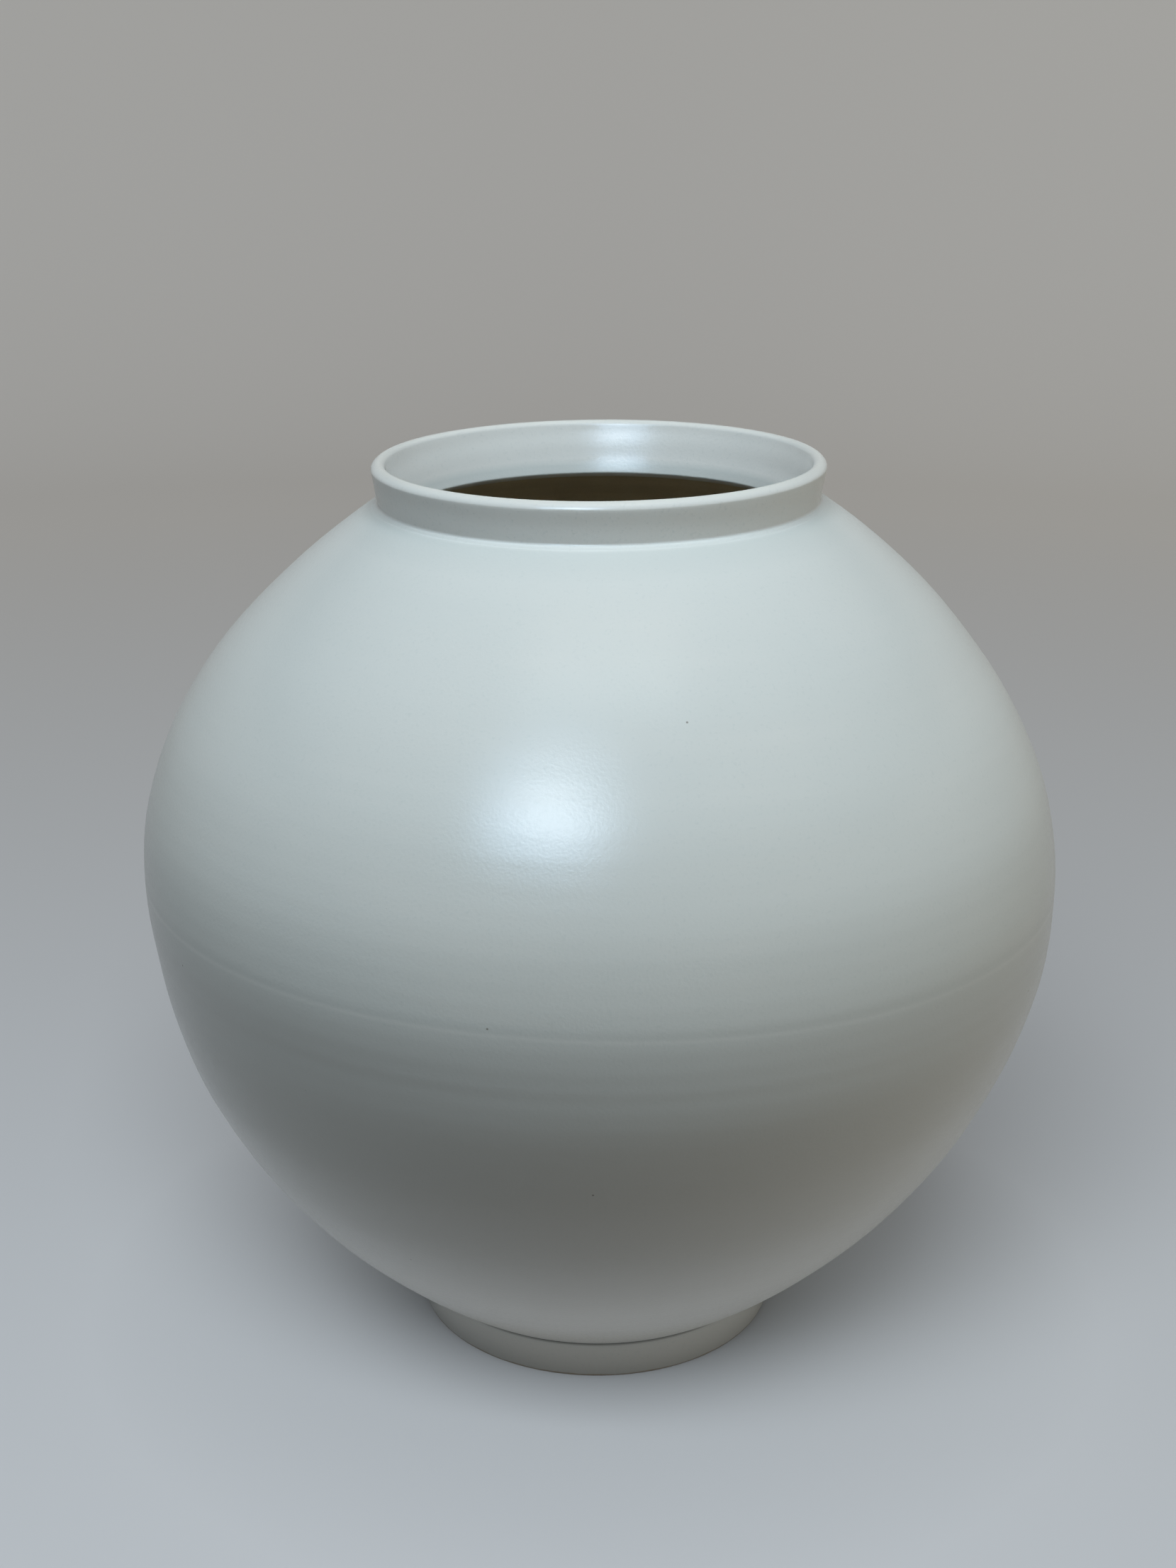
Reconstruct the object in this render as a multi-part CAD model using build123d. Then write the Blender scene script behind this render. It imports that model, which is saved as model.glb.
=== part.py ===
from build123d import *
import math
import os

# A moon jar: two thrown bowls luted rim to rim at the belly, a low collar at the mouth and a foot ring.
# Every piece is a solid of revolution about Z. Z = 0 is the surface that the jar stands on.
# Lengths are in millimetres and angles in degrees.

# Body
belly_diameter = 400.0        # outside, at the seam between the two bowls
belly_wall = 7.0
lower_bowl_height = 201.3     # from the underside to the seam
lower_belly_pull = 78.0       # how far the lower bowl's outline keeps upright below the seam
base_pull = 90.0              # how far its outline keeps to base_slope above the foot
base_slope = 36.4             # rise of the lower bowl's outline where it leaves the foot
base_wall = 10.0
floor_thickness = 10.0
floor_sweep = 24.0            # length of the soft corner between floor and wall, inside
base_hollow = 2.0             # rise of the trimmed underside inside the foot ring
upper_bowl_height = 157.5     # from the seam to the mouth
upper_belly_pull = 85.5
shoulder_pull = 20.0
shoulder_slope = 33.6         # fall of the upper bowl's outline where it leaves the collar
shoulder_wall = 11.5
throat_softness = 2.5         # length of the soft corner under the throat

# Collar
collar_height = 17.4
collar_flare = 10.0           # lean of the collar's outside, outwards and upwards
bore_flare = 20.0             # lean of its inside, which goes on through the mouth to the throat
lip_diameter = 192.0          # outside, at the lip
lip_thickness = 6.0

# Foot ring
foot_height = 18.2
foot_diameter = 163.6         # outside, on the table
foot_neck_diameter = 166.0    # outside, under the body
foot_rest_width = 10.0        # width of the ring on the table
foot_root_width = 15.0        # width of the ring under the body
foot_edge_softness = 1.6

# Joints between the pieces
slip_bed = 1.0                # thickness of each bed of slip
seam_key_depth = 2.0          # depth of the V that keys one bowl's rim into the other's
cove = 0.8                    # length of the hollow wiped into the corners at collar and foot

# Levels of the pieces, from the table up
base_level = foot_height + slip_bed
lower_rim_level = base_level + lower_bowl_height
upper_rim_level = lower_rim_level + slip_bed
mouth_level = upper_rim_level + upper_bowl_height
collar_level = mouth_level + slip_bed
lip_level = collar_level + collar_height

belly_radius = belly_diameter / 2
belly_inner_radius = belly_radius - belly_wall
lip_centre_radius = (lip_diameter - lip_thickness) / 2
lip_centre_level = lip_level - lip_thickness / 2


def at(radius, level):
    """Point of a section, which lies in the XZ plane."""
    return Vector(radius, 0, level)


def heading(angle):
    """Unit direction in the section, turned up from the outward direction by an angle."""
    return Vector(math.cos(math.radians(angle)), 0, math.sin(math.radians(angle)))


def outline(points):
    """Straight edges from each point to the next."""
    return [Line(start, end) for start, end in zip(points, points[1:])]


def turned(edges):
    """Solid turned about Z from a closed section."""
    return revolve(make_face(edges), axis=Axis.Z)


def collar_radius(level):
    """Radius of the collar's outside at a level; the line touches the round lip."""
    lean = math.radians(collar_flare)
    drop = lip_centre_level - level
    return lip_centre_radius + lip_thickness / 2 / math.cos(lean) - drop * math.tan(lean)


def bore_radius(level):
    """Radius of the collar's inside at a level; the line touches the round lip."""
    lean = math.radians(bore_flare)
    drop = lip_centre_level - level
    return lip_centre_radius - lip_thickness / 2 / math.cos(lean) - drop * math.tan(lean)


def shrunk(pull, inner_chord, outer_chord):
    """Pull of an inner outline that runs alongside an outer one of another length."""
    return pull * inner_chord.length / outer_chord.length


# Corners where the body's outline, carried on in its own slope, would meet the walls of collar and foot
neck_corner_level = collar_level + cove * math.sin(math.radians(shoulder_slope))
neck_corner = at(collar_radius(neck_corner_level), neck_corner_level)
foot_corner_level = foot_height - cove * math.sin(math.radians(base_slope))
foot_corner = at(foot_neck_diameter / 2, foot_corner_level)

# Edges of the collar's seat and of the foot's, and of the two bowls beyond the beds of slip
neck_toe = neck_corner + heading(-shoulder_slope) * cove
foot_toe = foot_corner + heading(base_slope) * cove
mouth_radius = neck_toe.X + slip_bed / math.tan(math.radians(shoulder_slope))
base_radius = foot_toe.X + slip_bed / math.tan(math.radians(base_slope))
foot_root_radius = foot_neck_diameter / 2 - foot_root_width


def seam_key(level):
    """Edges of a bowl's rim at the seam, from outside to inside: a V that dips in mid-wall."""
    mid_wall = belly_radius - belly_wall / 2
    return outline([at(belly_radius, level), at(mid_wall, level - seam_key_depth), at(belly_inner_radius, level)])


def lower_bowl():
    """Lower half with the jar's floor; its outline swings from the foot up to the upright rim."""
    base = at(base_radius, base_level)
    rim = at(belly_radius, lower_rim_level)
    outer = Bezier(base, base + heading(base_slope) * base_pull, rim - Vector(0, 0, lower_belly_pull), rim)

    floor_level = base_level + floor_thickness
    slope = math.radians(base_slope)
    corner_radius = base_radius + floor_thickness / math.tan(slope) - base_wall / math.sin(slope)
    corner = at(corner_radius, floor_level)
    floor_end = at(corner_radius - floor_sweep, floor_level)
    wall_start = corner + heading(base_slope) * floor_sweep
    inner_rim = at(belly_inner_radius, lower_rim_level)
    inner = Bezier(
        inner_rim,
        inner_rim - Vector(0, 0, shrunk(lower_belly_pull, inner_rim - corner, rim - base)),
        corner + heading(base_slope) * shrunk(base_pull, inner_rim - corner, rim - base),
        wall_start,
    )

    hollow_top = at(0, base_level + base_hollow)
    ring_inside = at(foot_root_radius, base_level)
    underside = Bezier(hollow_top, at(foot_root_radius / 2, hollow_top.Z), ring_inside)
    landing = Line(ring_inside, base)
    sweep = Bezier(wall_start, corner, floor_end)
    middle = outline([floor_end, at(0, floor_level), hollow_top])
    return turned([underside, landing, outer, *seam_key(lower_rim_level), inner, sweep, *middle])


def upper_bowl():
    """Upper half, open at the mouth, with a flat landing for the collar."""
    rim = at(belly_radius, upper_rim_level)
    mouth = at(mouth_radius, mouth_level)
    outer = Bezier(mouth, mouth + heading(-shoulder_slope) * shoulder_pull, rim + Vector(0, 0, upper_belly_pull), rim)

    # The throat is where the shoulder's inside, carried on in its own slope, meets the bore.
    fall = math.tan(math.radians(shoulder_slope))
    lean = math.tan(math.radians(bore_flare))
    drop = shoulder_wall / math.cos(math.radians(shoulder_slope))
    landing_inside = at(bore_radius(mouth_level), mouth_level)
    throat_depth = (drop - (mouth_radius - landing_inside.X) * fall) / (1 + fall * lean)
    throat = at(bore_radius(mouth_level - throat_depth), mouth_level - throat_depth)
    throat_top = throat + heading(90 - bore_flare) * throat_softness
    wall_end = throat + heading(-shoulder_slope) * throat_softness
    inner_rim = at(belly_inner_radius, upper_rim_level)
    inner = Bezier(
        inner_rim,
        inner_rim + Vector(0, 0, shrunk(upper_belly_pull, inner_rim - throat, rim - mouth)),
        throat + heading(-shoulder_slope) * shrunk(shoulder_pull, inner_rim - throat, rim - mouth),
        wall_end,
    )

    soft_throat = Bezier(wall_end, throat, throat_top)
    landing = outline([throat_top, landing_inside, mouth])
    return turned([outer, *seam_key(upper_rim_level), inner, soft_throat, *landing])


def neck_collar():
    """Low flaring wall with a round lip and a small cove at its foot."""
    lip_radius = lip_thickness / 2
    lip_centre = at(lip_centre_radius, lip_centre_level)
    lip_outside = lip_centre + heading(-collar_flare) * lip_radius
    lip_inside = lip_centre - heading(-bore_flare) * lip_radius
    lip = ThreePointArc(lip_outside, lip_centre + heading(90) * lip_radius, lip_inside)

    cove_top = at(collar_radius(neck_corner_level + cove), neck_corner_level + cove)
    hollow = Bezier(neck_toe, neck_corner, cove_top)
    seat = outline([lip_inside, at(bore_radius(collar_level), collar_level), neck_toe])
    return turned([lip, *seat, hollow, Line(cove_top, lip_outside)])


def foot_ring():
    """Ring that narrows towards the table, with softened edges and a small cove under the body."""
    soft = foot_edge_softness
    foot_radius = foot_diameter / 2
    rest_inside = foot_radius - foot_rest_width
    outer_lean = (foot_corner.X - foot_radius) / foot_corner_level
    inner_lean = (foot_root_radius - rest_inside) / foot_height

    outer_start = at(foot_radius + outer_lean * soft, soft)
    cove_foot = at(foot_radius + outer_lean * (foot_corner_level - cove), foot_corner_level - cove)
    inner_end = at(rest_inside + inner_lean * soft, soft)
    rest = Line(at(rest_inside + soft, 0), at(foot_radius - soft, 0))
    outer_edge = Bezier(at(foot_radius - soft, 0), at(foot_radius, 0), outer_start)
    hollow = Bezier(cove_foot, foot_corner, foot_toe)
    root = outline([foot_toe, at(foot_root_radius, foot_height), inner_end])
    inner_edge = Bezier(inner_end, at(rest_inside, 0), at(rest_inside + soft, 0))
    return turned([rest, outer_edge, Line(outer_start, cove_foot), hollow, *root, inner_edge])


def flat_bed(inner_edge_below, inner_edge_above, outer_edge_below, outer_edge_above, level):
    """Bed of slip between two flat landings, from the radii of its edges below and above."""
    corners = [
        at(inner_edge_below, level),
        at(outer_edge_below, level),
        at(outer_edge_above, level + slip_bed),
        at(inner_edge_above, level + slip_bed),
        at(inner_edge_below, level),
    ]
    return turned(outline(corners))


def foot_bed():
    """Bed of slip over the foot ring; its outer edge follows the lower bowl's slope."""
    return flat_bed(foot_root_radius, foot_root_radius, foot_toe.X, base_radius, foot_height)


def neck_bed():
    """Bed of slip under the collar; its outer edge follows the upper bowl's slope."""
    bore_below = bore_radius(mouth_level)
    bore_above = bore_radius(collar_level)
    return flat_bed(bore_below, bore_above, mouth_radius, neck_toe.X, mouth_level)


def belly_bed():
    """Bed of slip in the V between the two rims."""
    below = seam_key(lower_rim_level)
    above = seam_key(upper_rim_level)
    outside = Line(at(belly_radius, lower_rim_level), at(belly_radius, upper_rim_level))
    inside = Line(at(belly_inner_radius, lower_rim_level), at(belly_inner_radius, upper_rim_level))
    return turned([*below, inside, *above, outside])


pieces = {
    "foot_ring": foot_ring(),
    "foot_slip": foot_bed(),
    "lower_bowl": lower_bowl(),
    "belly_slip": belly_bed(),
    "upper_bowl": upper_bowl(),
    "neck_slip": neck_bed(),
    "neck_collar": neck_collar(),
}

os.makedirs("parts", exist_ok=True)
for node, piece in pieces.items():
    export_step(piece, f"parts/{node}.step")
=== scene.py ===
import logging
import math
from abc import ABC, abstractmethod
from dataclasses import dataclass
from enum import Enum

import bpy
import numpy as np
from mathutils import Matrix, Vector


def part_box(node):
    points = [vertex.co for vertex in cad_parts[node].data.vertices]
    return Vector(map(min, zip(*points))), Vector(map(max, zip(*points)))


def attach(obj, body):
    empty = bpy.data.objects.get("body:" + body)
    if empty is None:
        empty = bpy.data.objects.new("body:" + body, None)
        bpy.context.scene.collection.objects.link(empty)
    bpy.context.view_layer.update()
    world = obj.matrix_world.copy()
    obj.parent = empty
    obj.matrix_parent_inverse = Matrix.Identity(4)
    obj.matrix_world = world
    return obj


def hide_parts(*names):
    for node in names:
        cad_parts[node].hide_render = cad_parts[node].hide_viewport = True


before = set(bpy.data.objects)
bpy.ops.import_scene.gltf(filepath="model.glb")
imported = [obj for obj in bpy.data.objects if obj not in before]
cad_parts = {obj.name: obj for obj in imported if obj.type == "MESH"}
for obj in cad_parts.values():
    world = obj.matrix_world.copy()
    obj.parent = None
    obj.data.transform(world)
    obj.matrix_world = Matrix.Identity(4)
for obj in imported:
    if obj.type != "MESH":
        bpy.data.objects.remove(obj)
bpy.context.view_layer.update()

# A moon jar: two thrown bowls luted at the belly, a low collar and a foot ring, under a satin ivory glaze.
# Lengths are in metres and angles in degrees unless a name says otherwise. The jar's axis is Z.

LOG = logging.getLogger("moon_jar")
BODY = "root"
FULL_TURN = 2.0 * math.pi
SHARP_ANGLE = 40.0

Colour = tuple[float, float, float]
Point = tuple[float, float]
Span = tuple[float, float]
Socket = bpy.types.NodeSocket
Inputs = dict[str | int, object]

# Colours and ranges that several finishes share
NONE_TO_FULL: Span = (0.0, 1.0)
MID_NOISE: Span = (0.35, 0.65)
BROAD_NOISE: Span = (0.3, 0.7)
BLACK: Colour = (0.0, 0.0, 0.0)
BARE_CLAY: Colour = (0.56, 0.47, 0.36)
BLUE: Colour = (0.53, 0.75, 1.0)
PALE_BLUE: Colour = (0.89, 0.96, 1.0)


class Skin(Enum):
    """What a stretch of a section shows; the value is the piece's material slot."""

    GLAZED = 0
    WASHED = 1
    JOINT = 2


class Slot(Enum):
    """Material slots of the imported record."""

    GLAZE = "glaze"
    SLIP = "slip"


@dataclass(frozen=True)
class Run:
    """Stretch of a section: the radius and height of its points, one row each, and what it shows."""

    points: np.ndarray
    skin: Skin = Skin.GLAZED


def bezier(controls: list[Point], count: int, crowding: float = 1.0) -> np.ndarray:
    """Points of a Bezier curve, the sum of C(n, k) t^k (1 - t)^(n - k) times the k-th control.

    Args:
        controls: control points as radius and height.
        count: number of points.
        crowding: power of t's even spacing; over 1, it crowds the points towards the start.

    Returns:
        Points, one row each.
    """
    degree = len(controls) - 1
    order = np.arange(degree + 1)
    share = np.linspace(0.0, 1.0, count)[:, None] ** crowding
    choices = np.array([math.comb(degree, k) for k in order])
    weights = choices * share**order * (1.0 - share) ** (degree - order)
    return weights @ np.array(controls)


def straight(start: Point, end: Point, count: int = 2) -> np.ndarray:
    """Points of a straight line from start to end."""
    return np.linspace(start, end, count)


def arc(centre: Point, radius: float, start: float, end: float, count: int) -> np.ndarray:
    """Points of an arc: centre + radius (cos a, sin a), a running from start to end, up from outward."""
    angle = np.radians(np.linspace(start, end, count))
    return np.array(centre) + radius * np.column_stack([np.cos(angle), np.sin(angle)])


def ahead(start: Point, angle: float, distance: float) -> Point:
    """Point at a distance from start, in a direction turned up from the outward one by an angle."""
    turn = math.radians(angle)
    return (start[0] + distance * math.cos(turn), start[1] + distance * math.sin(turn))


def smooth_step(value: np.ndarray, low: float, high: float) -> np.ndarray:
    """Smooth rise from 0 at low to 1 at high: 3 t^2 - 2 t^3."""
    share = np.clip((value - low) / (high - low), 0.0, 1.0)
    return share * share * (3.0 - 2.0 * share)


def bell(value: np.ndarray, centre: float | np.ndarray, spread: float) -> np.ndarray:
    """Bell curve of height 1: exp(-((value - centre) / spread)^2)."""
    return np.exp(-(((value - centre) / spread) ** 2))


def stand(name: str, data: bpy.types.ID) -> bpy.types.Object:
    """Puts a new object into the scene.

    Args:
        name: its name.
        data: its mesh, lamp or camera.

    Returns:
        The object.
    """
    thing = bpy.data.objects.new(name, data)
    bpy.context.scene.collection.objects.link(thing)
    return thing


def smooth_mesh(name: str, places: np.ndarray, faces: list[list[int]]) -> bpy.types.Mesh:
    """Makes a mesh with smooth faces.

    Args:
        name: its name.
        places: points, one row each.
        faces: corners of each face.

    Returns:
        The mesh.
    """
    mesh = bpy.data.meshes.new(name)
    mesh.from_pydata(places, [], faces)
    mesh.polygons.foreach_set("use_smooth", np.ones(len(faces), dtype=bool))
    return mesh


@dataclass(frozen=True)
class JarLevels:
    """Heights and radii that the pieces share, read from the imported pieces."""

    foot_top: float
    base: float
    lower_rim: float
    upper_rim: float
    mouth: float
    collar: float
    lip: float
    foot_edge_radius: float
    base_radius: float
    belly_radius: float
    mouth_radius: float
    lip_radius: float

    @classmethod
    def from_frame(cls) -> "JarLevels":
        """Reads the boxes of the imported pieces.

        Returns:
            Their levels and radii.
        """
        boxes = {node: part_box(node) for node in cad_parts}
        low, high = ({node: box[end] for node, box in boxes.items()} for end in (0, 1))
        return cls(
            foot_top=high["foot_ring"].z,
            base=low["lower_bowl"].z,
            lower_rim=high["lower_bowl"].z,
            upper_rim=high["belly_slip"].z,
            mouth=high["upper_bowl"].z,
            collar=low["neck_collar"].z,
            lip=high["neck_collar"].z,
            foot_edge_radius=high["foot_ring"].x,
            base_radius=high["foot_slip"].x,
            belly_radius=high["lower_bowl"].x,
            mouth_radius=high["neck_slip"].x,
            lip_radius=high["neck_collar"].x,
        )

    @property
    def seam(self) -> float:
        """Height of the belly seam's middle."""
        return (self.lower_rim + self.upper_rim) / 2.0


@dataclass(frozen=True)
class Drift:
    """Stretch of the body, round a level, that is shifted a little off the axis along X."""

    level: float
    spread: float
    shift: float


@dataclass(frozen=True)
class PottersHand:
    """Small departures from the true round, shared by all pieces so that their joints stay shut."""

    levels: JarLevels
    rim_lean: float = 0.0124
    lean_start: float = 0.300
    drifts: tuple[Drift, ...] = (
        Drift(level=0.062, spread=0.030, shift=-0.0005),
        Drift(level=0.185, spread=0.034, shift=0.0014),
        Drift(level=0.312, spread=0.050, shift=-0.0007),
        Drift(level=0.392, spread=0.030, shift=-0.0010),
    )
    ring_pitch: float = 0.0085
    ring_depth: float = 0.000010
    swell_pitch: float = 0.037
    swell_depth: float = 0.00007
    collar_pitch: float = 0.0125
    collar_depth: float = 0.00008
    collar_rise: float = 0.008
    lip_clear: Span = (0.006, 0.001)
    seam_tilt: float = 0.0022
    seam_drop: float = 0.0010
    seam_wave: float = 0.0008
    seam_depth: float = 0.00003
    seam_width: float = 0.0018
    step_level: float = 0.198
    step_reach: float = 0.003
    step_depth: float = 0.00006
    finger_pitch: float = 0.0165
    finger_depth: float = 0.00045
    floor_rise: float = 0.010
    throat_clear: float = 0.006
    quiet_height: float = 0.020

    def seam_line(self, turn: np.ndarray) -> np.ndarray:
        """Height of the seam's line: the joint's height, a slow tilt and three small waves round the jar."""
        tilt = self.seam_tilt * np.cos(turn + 2.79) - self.seam_drop
        return self.levels.seam + tilt + self.seam_wave * np.cos(3.0 * turn + 5.18)

    def outside(self, turn: np.ndarray, level: np.ndarray) -> np.ndarray:
        """Relief of the outside: fine turning rings and broad swells that climb one pitch a turn,
        a small shelf along the seam and a soft step below it, all fading out at foot and mouth, and broad
        rings on the collar. The shelf is -u exp(-u^2) for the height u over the seam's line in seam widths,
        weaker to the right.

        Args:
            turn: angle round the axis in radians.
            level: height.

        Returns:
            Height of the relief along the outward normal.
        """
        rings = self.ring_depth * np.sin(FULL_TURN * level / self.ring_pitch + turn)
        swells = self.swell_depth * np.sin(FULL_TURN * level / self.swell_pitch - turn + 0.6)
        off = (level - self.seam_line(turn)) / self.seam_width
        seam = -self.seam_depth * (0.75 - 0.25 * np.cos(turn)) * off * np.exp(-(off**2))
        low, high = self.step_level - self.step_reach, self.step_level + self.step_reach
        step = self.step_depth * smooth_step(level, low, high)
        base, mouth, lip = self.levels.base, self.levels.mouth, self.levels.lip
        rise = smooth_step(level, base, base + self.quiet_height)
        fall = 1.0 - smooth_step(level, mouth - self.quiet_height, mouth)
        collar = self.collar_depth * np.sin(FULL_TURN * level / self.collar_pitch + turn)
        neck = smooth_step(level, mouth - self.collar_rise, mouth)
        neck = neck * (1.0 - smooth_step(level, lip - self.lip_clear[0], lip - self.lip_clear[1]))
        return (rings + swells + seam + step) * rise * fall + collar * neck

    def inside(self, turn: np.ndarray, level: np.ndarray) -> np.ndarray:
        """Relief of the inside: finger ridges that climb one pitch a turn, fading at floor and throat.

        Args:
            turn: angle round the axis in radians.
            level: height.

        Returns:
            Height of the relief along the normal, into the jar.
        """
        wave = np.sin(FULL_TURN * level / self.finger_pitch + turn)
        ridges = self.finger_depth * (0.5 + 0.5 * wave) ** 2
        floor = self.levels.base + self.floor_rise
        mouth = self.levels.mouth
        rise = smooth_step(level, floor, floor + self.quiet_height)
        fall = 1.0 - smooth_step(level, mouth - 2.0 * self.quiet_height, mouth - self.throat_clear)
        return ridges * rise * fall

    def lean(self, place: np.ndarray) -> np.ndarray:
        """Places after the axis has drifted along X and the rim has leaned.

        The shift is a sum of bell curves over the height. The rim's height gains
        rim_lean times X, blended in from lean_start up to the mouth.

        Args:
            place: points, one row each.

        Returns:
            Moved points.
        """
        moved = place.copy()
        level = place[:, 2]
        for drift in self.drifts:
            moved[:, 0] += drift.shift * bell(level, drift.level, drift.spread)
        moved[:, 2] += self.rim_lean * place[:, 0] * smooth_step(level, self.lean_start, self.levels.mouth)
        return moved


@dataclass(frozen=True)
class Lathe:
    """Turns closed sections about the jar's axis."""

    hand: PottersHand
    segments: int = 288

    def turn(self, name: str, runs: list[Run]) -> bpy.types.Object:
        """Closed mesh turned from a section.

        A vertex is at (r cos a, r sin a, z) for each section point (r, z) and each angle a,
        moved along the section's normal by the potter's relief, and then leaned.

        Args:
            name: name of the piece.
            runs: the section, anticlockwise with the radius to the right; each run starts where
                the last one ended, and the last one ends where the first began.

        Returns:
            The piece's object, at the origin.
        """
        section = np.concatenate([run.points[:-1] for run in runs])
        skins = np.concatenate([np.full(len(run.points) - 1, run.skin.value) for run in runs])
        normals, shown = self.section_normals(runs, len(section))
        turn = np.arange(self.segments) * FULL_TURN / self.segments

        radius = np.repeat(section[:, 0], self.segments)
        level = np.repeat(section[:, 1], self.segments)
        angle = np.tile(turn, len(section))
        skin = np.repeat(shown, self.segments)
        relief = np.where(skin == Skin.GLAZED.value, self.hand.outside(angle, level), 0.0)
        relief = np.where(skin == Skin.WASHED.value, self.hand.inside(angle, level), relief)
        radius = radius + relief * np.repeat(normals[:, 0], self.segments)
        height = level + relief * np.repeat(normals[:, 1], self.segments)
        place = np.column_stack([radius * np.cos(angle), radius * np.sin(angle), height])

        faces, face_skin, kept = self.faces(section, skins)
        mesh = smooth_mesh(name, self.hand.lean(place)[kept], faces)
        mesh.polygons.foreach_set("material_index", face_skin.astype(np.int32))
        mesh.set_sharp_from_angle(angle=math.radians(SHARP_ANGLE))
        self.paint(mesh, "off_seam", (level - self.hand.seam_line(angle))[kept])
        self.paint(mesh, "level", level[kept])
        mesh.update()
        return stand(name, mesh)

    def section_normals(self, runs: list[Run], count: int) -> tuple[np.ndarray, np.ndarray]:
        """Outward normal of each section point, and the skin whose relief it takes.

        Args:
            runs: the section.
            count: number of points in the closed section.

        Returns:
            Normals (dz, -dr) of length 1, and skins; a corner takes those of its glazed or washed side.
        """
        normals = np.zeros((count, 2))
        shown = np.full(count, Skin.JOINT.value)
        start = 0
        for run in runs:
            rows = (start + np.arange(len(run.points))) % count
            start += len(run.points) - 1
            if run.skin is Skin.JOINT:
                continue
            along = np.gradient(run.points, axis=0)
            along /= np.linalg.norm(along, axis=1, keepdims=True)
            normals[rows] = np.column_stack([along[:, 1], -along[:, 0]])
            shown[rows] = run.skin.value
        return normals, shown

    def faces(self, section: np.ndarray, skins: np.ndarray) -> tuple[list[list[int]], np.ndarray, np.ndarray]:
        """Faces between neighbouring rings of vertices, with a ring on the axis drawn to one vertex.

        Args:
            section: points of the closed section.
            skins: skin of the stretch after each point.

        Returns:
            Corners of the faces, skin of each face, and the rows of the vertices that are kept.
        """
        count = len(section)
        pole = section[:, 0] < 1e-9
        index = np.arange(count * self.segments).reshape(count, self.segments)
        index[pole] = index[pole][:, :1]
        kept = np.unique(index)
        index = np.searchsorted(kept, index)
        after = np.roll(index, -1, axis=0)
        near = np.stack([index, np.roll(index, -1, axis=1)], axis=-1)
        far = np.stack([np.roll(after, -1, axis=1), after], axis=-1)
        pole_after = np.roll(pole, -1)

        full = ~pole & ~pole_after
        opening = pole & ~pole_after
        closing = ~pole & pole_after
        quads = np.concatenate([near, far], axis=-1)[full].reshape(-1, 4)
        first = np.concatenate([near[..., :1], far], axis=-1)[opening].reshape(-1, 3)
        last = np.concatenate([near, far[..., :1]], axis=-1)[closing].reshape(-1, 3)
        skin = np.repeat(np.concatenate([skins[full], skins[opening], skins[closing]]), self.segments)
        return quads.tolist() + first.tolist() + last.tolist(), skin, kept

    @staticmethod
    def paint(mesh: bpy.types.Mesh, name: str, values: np.ndarray) -> None:
        """Stores one number for each vertex under a name that materials can read."""
        layer = mesh.attributes.new(name, "FLOAT", "POINT")
        layer.data.foreach_set("value", values.astype(np.float32))


@dataclass
class ClayPiece(ABC):
    """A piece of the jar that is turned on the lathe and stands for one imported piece.

    Attributes:
        levels: heights and radii that the pieces share.
        node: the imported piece, whose material slot is slot.
        belly_wall: thickness of the wall at the belly seam.
        key_depth: depth of the V that keys one bowl's rim into the other's.
        crowding: how the outline's points crowd towards the seam.
        cove: length of the hollow wiped into the corners at collar and foot.
        base_slope: rise of the body's outline where it leaves the foot.
        shoulder_slope: its fall where it leaves the collar.
    """

    levels: JarLevels
    node: str = ""
    slot: Slot = Slot.GLAZE
    belly_wall: float = 0.007
    key_depth: float = 0.002
    crowding: float = 1.8
    cove: float = 0.0008
    base_slope: float = 36.4
    shoulder_slope: float = 33.6

    @abstractmethod
    def runs(self) -> list[Run]:
        """Section of the piece, anticlockwise."""

    def seam_key(self, level: float) -> tuple[Point, Point, Point]:
        """Rim at the seam: a V that dips in mid-wall.

        Args:
            level: height of the rim.

        Returns:
            Its corners from outside to inside.
        """
        outer = self.levels.belly_radius
        middle = (outer - self.belly_wall / 2.0, level - self.key_depth)
        return (outer, level), middle, (outer - self.belly_wall, level)

    def build(self, lathe: Lathe) -> bpy.types.Object:
        """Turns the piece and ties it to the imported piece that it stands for.

        Args:
            lathe: what turns it.

        Returns:
            The piece's object.
        """
        piece = lathe.turn(f"{self.node}_thrown", self.runs())
        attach(piece, BODY)
        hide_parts(self.node)
        return piece

    def dress(self, piece: bpy.types.Object, finishes: dict[Skin, bpy.types.Material]) -> None:
        """Gives the piece one material for each skin, in the order of the skins' values."""
        for skin in Skin:
            piece.data.materials.append(finishes[skin])


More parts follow.
